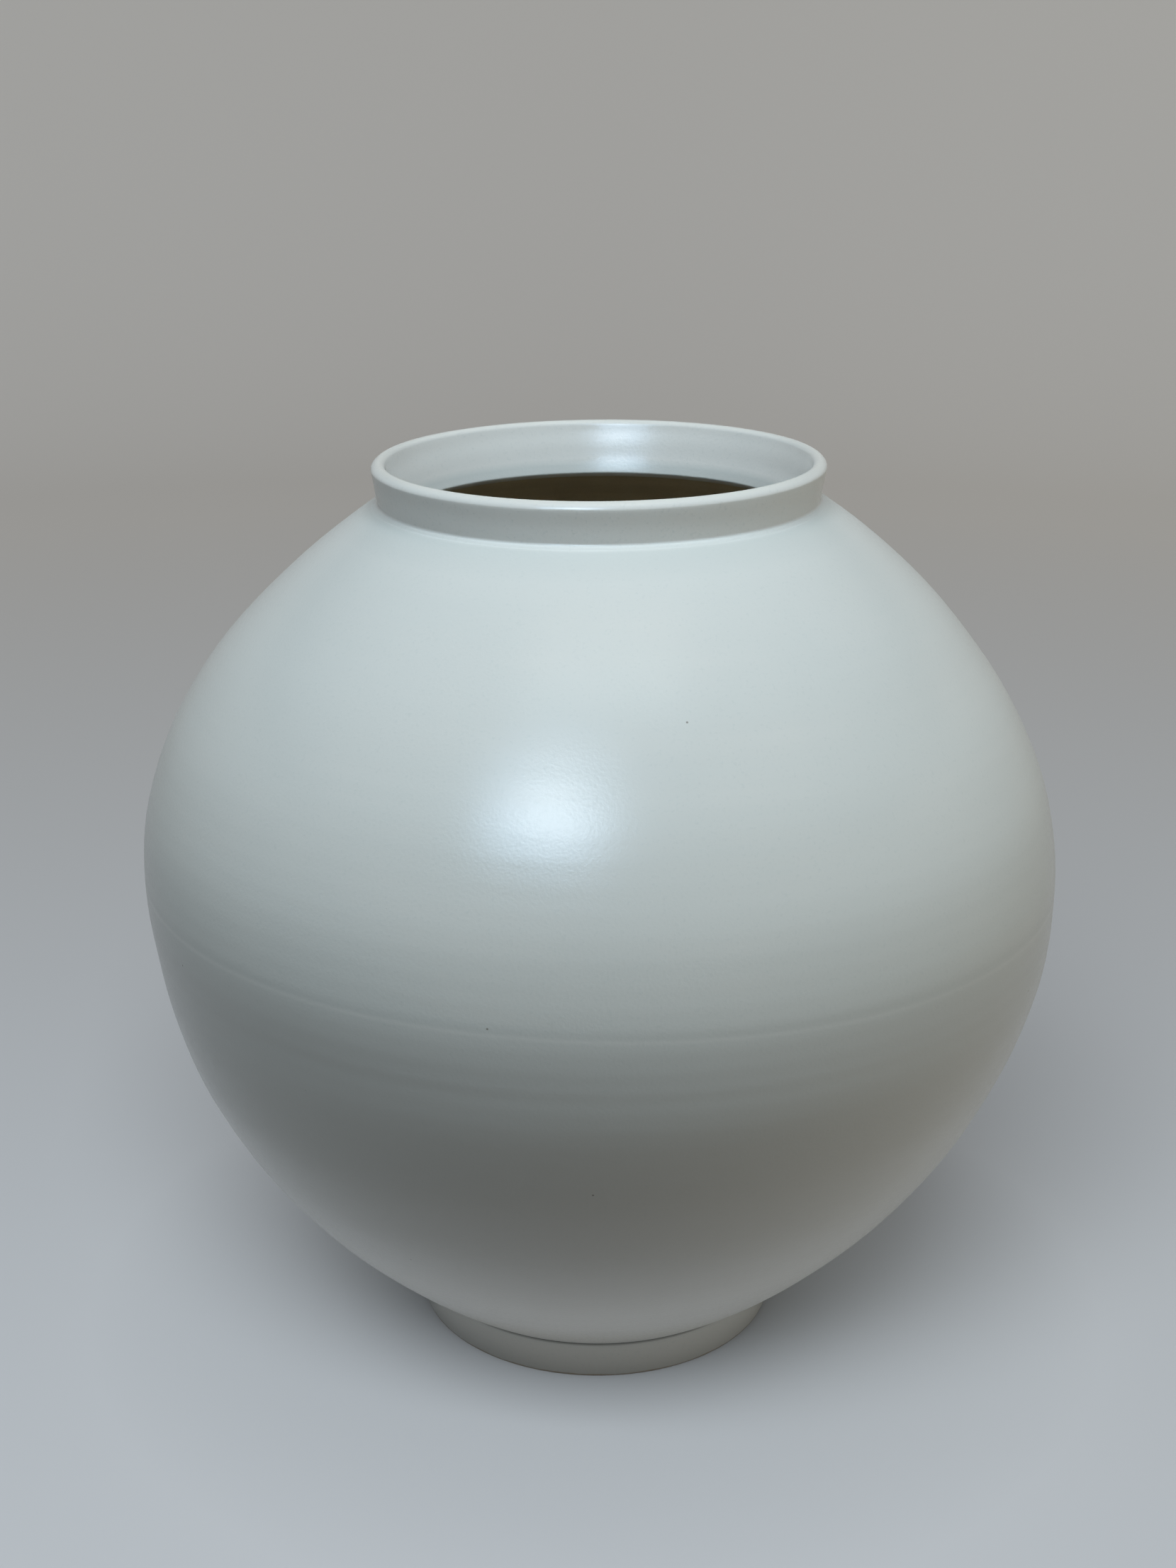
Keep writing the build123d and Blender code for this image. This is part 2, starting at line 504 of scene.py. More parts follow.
@dataclass
class FootRing(ClayPiece):
    """Ring that the jar stands on: it narrows to the table and has a small cove under the body."""

    node: str = "foot_ring"
    rest_radius: float = 0.0818
    rest_width: float = 0.010
    root_width: float = 0.015
    softness: float = 0.0016

    @property
    def corner(self) -> Point:
        """Where the wall would meet the body's outline, carried on in its own slope."""
        edge = (self.levels.foot_edge_radius, self.levels.foot_top)
        return ahead(edge, self.base_slope + 180.0, self.cove)

    @property
    def root_radius(self) -> float:
        """Inside radius where the ring meets the body."""
        return self.corner[0] - self.root_width

    def runs(self) -> list[Run]:
        """Section from the resting face up the outside, across the top and down the inside.

        Returns:
            Its runs, anticlockwise.
        """
        soft = self.softness
        top = self.levels.foot_top
        corner = self.corner
        rest_edge = (self.rest_radius - soft, 0.0)
        rest_inside = self.rest_radius - self.rest_width
        outer_lean = (corner[0] - self.rest_radius) / corner[1]
        inner_lean = (self.root_radius - rest_inside) / top
        cove_level = corner[1] - self.cove
        cove_foot = (self.rest_radius + outer_lean * cove_level, cove_level)
        edge = (self.levels.foot_edge_radius, top)
        root = (self.root_radius, top)
        outer_start = (self.rest_radius + outer_lean * soft, soft)
        inner_end = (rest_inside + inner_lean * soft, soft)
        return [
            Run(straight((rest_inside + soft, 0.0), rest_edge, 6)),
            Run(bezier([rest_edge, (self.rest_radius, 0.0), outer_start], 10)),
            Run(straight(outer_start, cove_foot, 16)),
            Run(bezier([cove_foot, corner, edge], 12)),
            Run(straight(edge, root), Skin.JOINT),
            Run(straight(root, inner_end, 14)),
            Run(bezier([inner_end, (rest_inside, 0.0), (rest_inside + soft, 0.0)], 10)),
        ]


@dataclass
class LowerBowl(ClayPiece):
    """Lower half with the floor: its outline swings from the foot up to the upright rim."""

    node: str = "lower_bowl"
    belly_pull: float = 0.078
    base_pull: float = 0.090
    base_wall: float = 0.010
    floor_thickness: float = 0.010
    floor_sweep: float = 0.024
    base_hollow: float = 0.002
    root_radius: float = 0.068

    def runs(self) -> list[Run]:
        """Section from the middle of the underside round the outside, over the rim and down to the floor.

        Returns:
            Its runs, anticlockwise.
        """
        levels = self.levels
        base = (levels.base_radius, levels.base)
        rim, key, inner_rim = self.seam_key(levels.lower_rim)

        slope = math.radians(self.base_slope)
        floor_level = levels.base + self.floor_thickness
        reach = self.floor_thickness / math.tan(slope) - self.base_wall / math.sin(slope)
        corner = (levels.base_radius + reach, floor_level)
        wall_start = ahead(corner, self.base_slope, self.floor_sweep)
        floor_end = (corner[0] - self.floor_sweep, floor_level)
        ratio = math.dist(inner_rim, corner) / math.dist(rim, base)

        root = (self.root_radius, levels.base)
        hollow = (0.0, levels.base + self.base_hollow)
        underside = bezier([hollow, (self.root_radius / 2.0, hollow[1]), root], 24)
        outer = [base, ahead(base, self.base_slope, self.base_pull), (rim[0], rim[1] - self.belly_pull), rim]
        inner = [
            inner_rim,
            (inner_rim[0], inner_rim[1] - self.belly_pull * ratio),
            ahead(corner, self.base_slope, self.base_pull * ratio),
            wall_start,
        ]
        return [
            Run(underside),
            Run(straight(root, base), Skin.JOINT),
            Run(bezier(outer[::-1], 150, self.crowding)[::-1]),
            Run(straight(rim, key), Skin.JOINT),
            Run(straight(key, inner_rim), Skin.JOINT),
            Run(bezier(inner, 90), Skin.WASHED),
            Run(bezier([wall_start, corner, floor_end], 16), Skin.WASHED),
            Run(straight(floor_end, (0.0, floor_level), 12), Skin.WASHED),
            Run(straight((0.0, floor_level), hollow), Skin.JOINT),
        ]


@dataclass
class NeckCollar(ClayPiece):
    """Low flaring collar with a round lip and a small cove at its foot."""

    node: str = "neck_collar"
    flare: float = 10.0
    bore_flare: float = 20.0
    thickness: float = 0.006
    lip_power: float = 1.55

    @property
    def half(self) -> float:
        """Half of the thickness, the round lip's radius."""
        return self.thickness / 2.0

    @property
    def lip_centre(self) -> Point:
        """Centre of the round lip."""
        return (self.levels.lip_radius - self.half, self.levels.lip - self.half)

    def wall_radius(self, level: float) -> float:
        """Radius of the outside at a level; the line touches the round lip."""
        lean = math.radians(self.flare)
        return self.lip_centre[0] + self.half / math.cos(lean) - (self.lip_centre[1] - level) * math.tan(lean)

    def bore_radius(self, level: float) -> float:
        """Radius of the inside at a level; the line touches the round lip."""
        lean = math.radians(self.bore_flare)
        return self.lip_centre[0] - self.half / math.cos(lean) - (self.lip_centre[1] - level) * math.tan(lean)

    @property
    def corner(self) -> Point:
        """Where the outside would meet the shoulder's outline, carried on in its own slope."""
        level = self.levels.collar + self.cove * math.sin(math.radians(self.shoulder_slope))
        return (self.wall_radius(level), level)

    @property
    def seat_outside(self) -> Point:
        """Outer edge of the seat."""
        return ahead(self.corner, -self.shoulder_slope, self.cove)

    @property
    def seat_inside(self) -> Point:
        """Inner edge of the seat."""
        return (self.bore_radius(self.levels.collar), self.levels.collar)

    def lip(self) -> np.ndarray:
        """Points of the lip from outside to inside.

        Outside it is |x|^n + |z|^n = 1 in shares of the half thickness, with n = lip_power: a bevel
        that a wet leather has drawn over the edge. Inside it is round, and ends square to the bore.

        Returns:
            Points, one row each.
        """
        around = np.radians(np.linspace(0.0, 90.0, 24))
        bevel = np.column_stack([np.cos(around), np.sin(around)]) ** (2.0 / self.lip_power)
        inside = arc(self.lip_centre, self.half, 90.0, 180.0 - self.bore_flare, 18)
        return np.concatenate([np.array(self.lip_centre) + self.half * bevel, inside[1:]])

    def runs(self) -> list[Run]:
        """Section from the seat up the outside, over the lip and down the bore.

        Returns:
            Its runs, anticlockwise.
        """
        lip = self.lip()
        cove_level = self.corner[1] + self.cove
        cove_top = (self.wall_radius(cove_level), cove_level)
        return [
            Run(straight(self.seat_inside, self.seat_outside), Skin.JOINT),
            Run(bezier([self.seat_outside, self.corner, cove_top], 12)),
            Run(straight(cove_top, tuple(lip[0]), 14)),
            Run(lip),
            Run(straight(tuple(lip[-1]), self.seat_inside, 18)),
        ]


@dataclass
class UpperBowl(ClayPiece):
    """Upper half, open at the mouth, with a flat landing for the collar."""

    node: str = "upper_bowl"
    collar: NeckCollar | None = None
    belly_pull: float = 0.0855
    shoulder_pull: float = 0.020
    shoulder_wall: float = 0.0115
    throat_softness: float = 0.0025
    throat_edge: float = 0.0012

    def throat(self) -> Point:
        """Corner where the shoulder's inside, carried on in its own slope, meets the bore.

        Returns:
            Its radius and height.
        """
        slope = math.radians(self.shoulder_slope)
        fall = math.tan(slope)
        lean = math.tan(math.radians(self.collar.bore_flare))
        mouth = self.levels.mouth
        overhang = self.levels.mouth_radius - self.collar.bore_radius(mouth)
        depth = (self.shoulder_wall / math.cos(slope) - overhang * fall) / (1.0 + fall * lean)
        return (self.collar.bore_radius(mouth - depth), mouth - depth)

    def runs(self) -> list[Run]:
        """Section from the rim up the outside, across the mouth, down the throat and the inside.

        Returns:
            Its runs, anticlockwise.
        """
        levels = self.levels
        rim, key, inner_rim = self.seam_key(levels.upper_rim)
        mouth = (levels.mouth_radius, levels.mouth)
        landing = (self.collar.bore_radius(levels.mouth), levels.mouth)
        throat = self.throat()
        throat_top = ahead(throat, 90.0 - self.collar.bore_flare, self.throat_edge)
        wall_end = ahead(throat, -self.shoulder_slope, self.throat_softness)
        ratio = math.dist(inner_rim, throat) / math.dist(rim, mouth)

        outer = [
            rim,
            (rim[0], rim[1] + self.belly_pull),
            ahead(mouth, -self.shoulder_slope, self.shoulder_pull),
            mouth,
        ]
        inner = [
            wall_end,
            ahead(throat, -self.shoulder_slope, self.shoulder_pull * ratio),
            (inner_rim[0], inner_rim[1] + self.belly_pull * ratio),
            inner_rim,
        ]
        return [
            Run(bezier(outer, 140, self.crowding)),
            Run(straight(mouth, landing), Skin.JOINT),
            Run(straight(landing, throat_top, 9)),
            Run(bezier([throat_top, throat, wall_end], 17)),
            Run(bezier(inner, 90), Skin.WASHED),
            Run(straight(inner_rim, key), Skin.JOINT),
            Run(straight(key, rim), Skin.JOINT),
        ]


@dataclass
class FlatBed(ClayPiece):
    """Bed of slip between two flat landings.

    Attributes:
        below: inner and outer radius on the lower landing.
        above: inner and outer radius under the upper one.
        low: height of the lower landing.
        high: height of the upper one.
    """

    slot: Slot = Slot.SLIP
    below: Point = (0.0, 0.0)
    above: Point = (0.0, 0.0)
    low: float = 0.0
    high: float = 0.0

    def runs(self) -> list[Run]:
        """Section: a small four-sided strip.

        Returns:
            Its runs, anticlockwise.
        """
        inner_low, outer_low = ((radius, self.low) for radius in self.below)
        inner_high, outer_high = ((radius, self.high) for radius in self.above)
        return [
            Run(straight(inner_low, outer_low), Skin.JOINT),
            Run(straight(outer_low, outer_high, 4)),
            Run(straight(outer_high, inner_high), Skin.JOINT),
            Run(straight(inner_high, inner_low, 4)),
        ]


@dataclass
class BellyBed(ClayPiece):
    """Bed of slip in the V between the two rims."""

    node: str = "belly_slip"
    slot: Slot = Slot.SLIP

    def runs(self) -> list[Run]:
        """Section: a bent strip whose edges show outside and inside.

        Returns:
            Its runs, anticlockwise.
        """
        outer_low, key_low, inner_low = self.seam_key(self.levels.lower_rim)
        outer_high, key_high, inner_high = self.seam_key(self.levels.upper_rim)
        return [
            Run(straight(inner_low, key_low), Skin.JOINT),
            Run(straight(key_low, outer_low), Skin.JOINT),
            Run(straight(outer_low, outer_high, 4)),
            Run(straight(outer_high, key_high), Skin.JOINT),
            Run(straight(key_high, inner_high), Skin.JOINT),
            Run(straight(inner_high, inner_low, 4), Skin.WASHED),
        ]


@dataclass(frozen=True)
class Band:
    """Soft band of a finish, round the jar.

    Attributes:
        offset: height of its middle over the level that it belongs to.
        spread: distance at which it has faded out.
        share: strength in the middle.
    """

    offset: float
    spread: float
    share: float


class Bench:
    """Work bench for one material: adds nodes and wires them to its shader."""

    def __init__(self, name: str) -> None:
        """Starts a material with a plain shader and the object's own coordinates.

        Args:
            name: the material's name.
        """
        self.material = bpy.data.materials.new(name)
        self.material.use_nodes = True
        self.tree = self.material.node_tree
        self.shader = self.tree.nodes["Principled BSDF"]
        self.place = self.add("ShaderNodeTexCoord", {}).outputs["Object"]

    def add(self, kind: str, inputs: Inputs, **settings: object) -> bpy.types.Node:
        """Adds a node.

        Args:
            kind: the node's type.
            inputs: value or output to give to each input, by the input's name or place.
            settings: properties of the node.

        Returns:
            The node.
        """
        node = self.tree.nodes.new(kind)
        for name, value in settings.items():
            setattr(node, name, value)
        self.feed(node, inputs)
        return node

    def feed(self, node: bpy.types.Node, inputs: Inputs) -> None:
        """Links outputs to a node's inputs and sets plain values on the others.

        Args:
            node: the node.
            inputs: value or output to give to each input.
        """
        for name, value in inputs.items():
            if isinstance(value, Socket):
                self.tree.links.new(value, node.inputs[name])
            else:
                node.inputs[name].default_value = value

    def noise(self, scale: float, detail: float, stretch: Colour = (1.0, 1.0, 1.0)) -> Socket:
        """Cloudy noise from 0 to 1.

        Args:
            scale: waves in a metre.
            detail: number of finer layers.
            stretch: extra scale along X, Y and Z.

        Returns:
            The noise.
        """
        place = self.add("ShaderNodeMapping", {"Vector": self.place, "Scale": stretch}).outputs[0]
        inputs = {"Vector": place, "Scale": scale, "Detail": detail, "Roughness": 0.55}
        return self.add("ShaderNodeTexNoise", inputs).outputs[0]

    def combine(self, operation: str, *values: float | Socket) -> Socket:
        """Result of an operation on numbers."""
        return self.add("ShaderNodeMath", dict(enumerate(values)), operation=operation).outputs[0]

    def remap(self, value: Socket, before: Span, after: Span = NONE_TO_FULL) -> Socket:
        """Value carried from one range to another and held within it."""
        return self.add("ShaderNodeMapRange", dict(enumerate((value, *before, *after)))).outputs[0]

    def fade(self, value: Socket, base: float, reach: Span, after: Span = NONE_TO_FULL) -> Socket:
        """Value carried to another range from a stretch that is measured from a base height."""
        return self.remap(value, (base + reach[0], base + reach[1]), after)

    def blend(self, share: Socket, first: Colour | Socket, second: Colour | Socket) -> Socket:
        """Colour between two.

        Args:
            share: share of the second.
            first: colour where share is 0.
            second: colour where share is 1.

        Returns:
            The colour.
        """
        node = self.add("ShaderNodeMix", {0: share}, data_type="RGBA")
        for place, colour in ((6, first), (7, second)):
            value = colour if isinstance(colour, Socket) else (*colour, 1.0)
            self.feed(node, {place: value})
        return node.outputs[2]

    def across(self) -> Socket:
        """Place along X."""
        return self.add("ShaderNodeSeparateXYZ", {0: self.place}).outputs["X"]

    def attribute(self, name: str) -> Socket:
        """Number that the lathe stored for each vertex."""
        return self.add("ShaderNodeAttribute", {}, attribute_name=name).outputs["Fac"]

    def band(self, level: Socket, base: float, band: Band) -> Socket:
        """Strength of a soft band: its share in the middle, and 0 beyond its spread to both sides."""
        distance = self.combine("ABSOLUTE", self.combine("SUBTRACT", level, base + band.offset))
        return self.remap(distance, (0.0, band.spread), (band.share, 0.0))

    def bump(self, height: Socket, strength: float, distance: float) -> Socket:
        """Normal of a surface with fine relief."""
        inputs = {"Height": height, "Strength": strength, "Distance": distance}
        return self.add("ShaderNodeBump", inputs).outputs[0]


@dataclass(frozen=True)
class GlazeFinish:
    """Satin ivory glaze with faint clouds and bands of tone, a fine grain and rare specks.

    It has painted shade: it is greyer on the lower bowl and under the collar, in a band just above the
    seam, and over the foot, where glaze gathers in the joint, with a near-black line in the crease.
    Painted light makes it paler round the neck, and a painted highlight runs along the seam. It is
    warmer where it thins over the lip, glossier where it gathers under the lip and in the cove, and
    wiped off the foot's resting edge. Bands and fades are measured from the seam, the base, the mouth,
    the lip, the collar's seat or the foot's top.
    """

    name: str
    levels: JarLevels
    body: Colour = (0.845, 0.855, 0.835)
    cloud: Colour = (0.815, 0.835, 0.820)
    # grey tone: random grain flecks and glaze gathered at the foot joint, and also painted shade under the
    # collar, beside the seam and in the foot's crease
    pooled_grey_and_shade: Colour = (0.70, 0.74, 0.73)
    # painted shade: the lower bowl, which faces away from the light above, is greyer
    lower: Colour = (0.76, 0.77, 0.76)
    # painted shade: near-black line in the crease between body and foot
    groove_shade: Colour = (0.10, 0.10, 0.09)
    # painted light: pale tone that lightens the collar, outside and bore, and draws the seam's painted
    # highlight
    neck: Colour = (0.93, 0.93, 0.91)
    thin: Colour = (0.87, 0.845, 0.79)
    clay: Colour = BARE_CLAY
    speck: Colour = (0.20, 0.17, 0.13)
    lower_shade_fade: Span = (-0.016, 0.008)
    lower_shade_share: float = 0.9
    foot_fade: Span = (0.020, 0.070)
    # where the collar's painted light begins above the mouth
    collar_light_fade: Span = (-0.001, 0.002)
    lip_fade: Span = (-0.0016, 0.0)
    lip_share: float = 0.75
    # painted shade: greyer band on the shoulder right under the collar
    collar_shade: Band = Band(-0.001, 0.009, 0.6)
    # bands over the foot: glaze gathered at the joint with painted shade, and a near-black painted shade line
    # in the crease
    foot_pool_and_shade: Band = Band(0.0008, 0.0042, 1.0)
    foot_groove_shade: Band = Band(-0.0002, 0.0017, 1.0)
    # painted shade: greyer band just above the seam; then a painted highlight along the seam, weaker to the
    # right
    seam_shade: Band = Band(0.0026, 0.0030, 0.12)
    seam_line: Band = Band(0.0, 0.0014, 0.42)
    seam_highlight_fade: Span = (0.0, 0.09)
    lip_gloss: Band = Band(-0.0028, 0.0014, -0.6)
    cove_gloss: Band = Band(0.0008, 0.0014, -0.6)
    roughness: Span = (0.20, 0.27)
    cloud_scale: float = 11.0
    band_stretch: Colour = (6.0, 6.0, 120.0)
    grain_scale: float = 700.0
    grain_depth: float = 0.00005
    speck_scale: float = 55.0
    wipe_level: float = 0.0011
    wipe_edge: Span = (0.0004, 0.0009)
    wipe_wander: float = 0.0012

    def material(self) -> bpy.types.Material:
        """Builds the glaze: a body tone with one layer after another blended over it, and a roughness
        that follows the grain and drops where the glaze gathers.

        Returns:
            The material.
        """
        bench = Bench(self.name)
        level = bench.attribute("level")
        grain = bench.noise(self.grain_scale, 2.0)
        tone = self.body
        for share, colour in self.layers(bench, level, grain):
            tone = bench.blend(share, tone, colour)
        rough = bench.remap(grain, BROAD_NOISE, self.roughness)
        for base, band in ((self.levels.lip, self.lip_gloss), (self.levels.collar, self.cove_gloss)):
            rough = bench.combine("MULTIPLY_ADD", rough, bench.band(level, base, band), rough)
        shader = {
            "Base Color": tone,
            "Roughness": rough,
            "IOR": 1.5,
            "Normal": bench.bump(grain, 1.0, self.grain_depth),
        }
        bench.feed(bench.shader, shader)
        return bench.material

    def layers(self, bench: Bench, level: Socket, grain: Socket) -> list[tuple[Socket, Colour]]:
        """Layers over the body tone, from the lowest up.

        Args:
            bench: the material's bench.
            level: height of the surface.
            grain: the fine grain.

        Returns:
            Share and colour of each layer.
        """
        levels = self.levels
        clouds = bench.noise(self.cloud_scale, 3.0)
        bands = bench.noise(1.0, 2.0, self.band_stretch)
        shade_below_seam = bench.fade(level, levels.seam, self.lower_shade_fade, (self.lower_shade_share, 0.0))
        above_foot = bench.fade(level, levels.base, self.foot_fade)
        off_seam = bench.attribute("off_seam")
        seam_line = bench.band(off_seam, 0.0, self.seam_line)
        weaker_right = bench.remap(bench.across(), self.seam_highlight_fade, (1.0, 0.5))
        return [
            (bench.remap(clouds, MID_NOISE), self.cloud),
            (bench.remap(bands, MID_NOISE, (0.0, 0.5)), self.cloud),
            # painted shade on the lower bowl, between the seam and the foot
            (bench.combine("MULTIPLY", shade_below_seam, above_foot), self.lower),
            # painted shade under the collar
            (bench.band(level, levels.mouth, self.collar_shade), self.pooled_grey_and_shade),
            # painted light: the collar, outside and bore, paler than the body
            (bench.fade(level, levels.mouth, self.collar_light_fade), self.neck),
            (bench.remap(grain, (0.58, 0.75), (0.0, 0.30)), self.pooled_grey_and_shade),
            (bench.fade(level, levels.lip, self.lip_fade, (0.0, self.lip_share)), self.thin),
            # glaze gathered and painted shade at the foot joint, then a near-black painted shade line in the
            # groove
            (bench.band(level, levels.foot_top, self.foot_pool_and_shade), self.pooled_grey_and_shade),
            (bench.band(level, levels.foot_top, self.foot_groove_shade), self.groove_shade),
            # painted shade beside the seam, and a pale painted highlight along its ridge, weaker to the right
            (bench.band(off_seam, 0.0, self.seam_shade), self.pooled_grey_and_shade),
            (bench.combine("MULTIPLY", seam_line, weaker_right), self.neck),
            (self.specks(bench), self.speck),
            (self.wiped(bench, level), self.clay),
        ]

    def wiped(self, bench: Bench, level: Socket) -> Socket:
        """Share of bare clay: 1 on the resting edge, with a ragged border."""
        edge = bench.combine("MULTIPLY_ADD", bench.noise(90.0, 2.0), self.wipe_wander, level)
        return bench.fade(edge, self.wipe_level, self.wipe_edge, (1.0, 0.0))

    def specks(self, bench: Bench) -> Socket:
        """Rare iron specks: small balls round a scatter of points, kept only in some cells.

        Args:
            bench: the material's bench.

        Returns:
            Share of the specks.
        """
        cells = bench.add("ShaderNodeTexVoronoi", {"Vector": bench.place, "Scale": self.speck_scale})
        dots = bench.remap(cells.outputs["Distance"], (0.015, 0.03), (0.7, 0.0))
        chosen = bench.add("ShaderNodeSeparateColor", {"Color": cells.outputs["Color"]}).outputs[0]
        return bench.combine("MULTIPLY", dots, bench.remap(chosen, (0.70, 0.72)))


@dataclass(frozen=True)
class ClayFinish:
    """Bare fired clay, as on the faces that meet in a joint: matt, warm and gritty."""

    name: str = "bare_clay"
    body: Colour = BARE_CLAY
    dark: Colour = (0.40, 0.31, 0.22)
    grit: Span = (0.52, 0.72)
    grit_share: float = 0.8
    grain_scale: float = 700.0
    grain_strength: float = 0.3
    grain_depth: float = 0.0006
    roughness: Span = (0.75, 0.9)

    def ground(self, bench: Bench) -> Colour | Socket:
        """Tone under the grit."""
        return self.body

    def material(self) -> bpy.types.Material:
        """Builds the finish.

        Returns:
            The material.
        """
        bench = Bench(self.name)
        grain = bench.noise(self.grain_scale, 3.0)
        grit = bench.remap(grain, self.grit, (0.0, self.grit_share))
        shader = {
            "Base Color": bench.blend(grit, self.ground(bench), self.dark),
            "Roughness": bench.remap(grain, BROAD_NOISE, self.roughness),
            "Normal": bench.bump(grain, self.grain_strength, self.grain_depth),
        }
        bench.feed(bench.shader, shader)
        return bench.material


@dataclass(frozen=True)
class WashFinish(ClayFinish):
    """Thin olive-buff wash inside the jar, dull, with darker rings."""

    name: str = "inside_wash"
    body: Colour = (0.64, 0.55, 0.40)
    dark: Colour = (0.52, 0.45, 0.32)
    grit: Span = (0.5, 0.8)
    grit_share: float = 0.5
    grain_scale: float = 600.0
    grain_strength: float = 0.15
    roughness: Span = (0.55, 0.70)
    ring_stretch: Colour = (8.0, 8.0, 95.0)

    def ground(self, bench: Bench) -> Colour | Socket:
        """Tone under the grit, with darker rings."""
        rings = bench.remap(bench.noise(1.0, 3.0, self.ring_stretch), MID_NOISE)
        return bench.blend(rings, self.body, self.dark)


class Way(Enum):
    """Measure across the paper: distance from the jar's middle, or place along X."""

    ROUND = "round"
    ACROSS = "across"


@dataclass(frozen=True)
class Patch:
    """Part of the paper that throws light on the jar.

    Attributes:
        way: measure across the paper.
        reach: where the patch begins and where it has its full strength.
        light: the light at full strength; a negative one takes light away.
    """

    way: Way
    reach: Span
    light: Colour


@dataclass(frozen=True)
class StudioFinish:
    """Plain matt paper of floor and backdrop.

    To the camera and in reflections it looks pale: it shows a part of its light as a glow, dimmer near
    the jar and darkened by ambient occlusion round the foot into a painted contact shadow, and a part as
    shade, with the jar's shadow. The light that it throws up on the jar comes from soft patches: a ring
    round the foot, without its shaded middle, and the paper to the right and left.
    """

    name: str = "studio_paper"
    shown: Colour = (0.413, 0.438, 0.468)
    glow_near: Colour = (0.14, 0.145, 0.15)
    glow_far: Colour = (0.21, 0.195, 0.175)
    glow_reach: Span = (0.3, 1.8)
    contact: float = 0.12
    roughness: float = 0.9
    patches: tuple[Patch, ...] = (
        Patch(Way.ROUND, (0.24, 0.21), (0.39, 0.39, 0.385)),
        Patch(Way.ROUND, (0.14, 0.09), (-0.34, -0.34, -0.335)),
        Patch(Way.ACROSS, (0.10, 0.35), (0.31, 0.29, 0.235)),
        Patch(Way.ACROSS, (-0.10, -0.35), (0.16, 0.175, 0.175)),
    )

    def material(self) -> bpy.types.Material:
        """Builds the paper.

        Returns:
            The material.
        """
        bench = Bench(self.name)
        path = bench.add("ShaderNodeLightPath", {})
        seen = path.outputs["Is Camera Ray"]
        for kind in ("Is Glossy Ray", "Is Transmission Ray"):
            seen = bench.combine("MAXIMUM", seen, path.outputs[kind])
        distance = bench.add("ShaderNodeVectorMath", {0: bench.place}, operation="LENGTH").outputs["Value"]
        measures = {Way.ROUND: distance, Way.ACROSS: bench.across()}
        thrown = BLACK
        for patch in self.patches:
            share = bench.remap(measures[patch.way], patch.reach)
            inputs = {0: share, 1: patch.light, 2: thrown}
            thrown = bench.add("ShaderNodeVectorMath", inputs, operation="MULTIPLY_ADD").outputs[0]
        far = bench.remap(distance, self.glow_reach)
        inputs = {"Color": bench.blend(far, self.glow_near, self.glow_far), "Distance": self.contact}
        # glow darkened by ambient occlusion near the jar: a painted contact shadow on the paper
        glow = bench.add("ShaderNodeAmbientOcclusion", inputs, samples=8).outputs["Color"]
        shader = {
            "Base Color": bench.blend(seen, BLACK, self.shown),
            "Roughness": self.roughness,
            "Emission Color": bench.blend(seen, thrown, glow),
            "Emission Strength": 1.0,
        }
        bench.feed(bench.shader, shader)
        return bench.material


class Shape(Enum):
    """Outline of a lamp."""

    SQUARE = "RECTANGLE"
    ROUND = "ELLIPSE"


class Reach(Enum):
    """What a lamp does: it shades the jar, mirrors in its glaze, or shades the paper."""

    SHADE = "shade"
    GLOSS = "gloss"
    PAPER = "paper"


@dataclass(frozen=True)
class Softbox:
    """Flat lamp that faces the jar.

    Attributes:
        name: the lamp's name.
        azimuth: direction round the jar, from the camera's side towards +X.
        elevation: height of the direction above the horizon.
        distance: distance from the jar's middle.
        size: width and height.
        power: watts.
        colour: colour of the light.
        reach: what the light does.
        shape: outline of the lamp.
    """

    name: str
    azimuth: float
    elevation: float
    distance: float
    size: Span
    power: float
    colour: Colour
    reach: Reach
    shape: Shape = Shape.SQUARE

    def build(self, aim: Vector, lit: bpy.types.Collection) -> None:
        """Makes the lamp.

        Args:
            aim: point that it faces.
            lit: what it shines on.
        """
        around = math.radians(self.azimuth)
        up = math.radians(self.elevation)
        direction = Vector((math.sin(around) * math.cos(up), -math.cos(around) * math.cos(up), math.sin(up)))
        lamp = bpy.data.lights.new(self.name, "AREA")
        lamp.shape = self.shape.value
        lamp.size, lamp.size_y = self.size
        lamp.energy = self.power
        lamp.color = self.colour
        holder = stand(self.name, lamp)
        holder.location = aim + direction * self.distance
        holder.rotation_euler = direction.to_track_quat("Z", "Y").to_euler()
        holder.visible_camera = False
        holder.visible_diffuse = self.reach is not Reach.GLOSS
        holder.visible_glossy = self.reach is Reach.GLOSS
        holder.light_linking.receiver_collection = lit


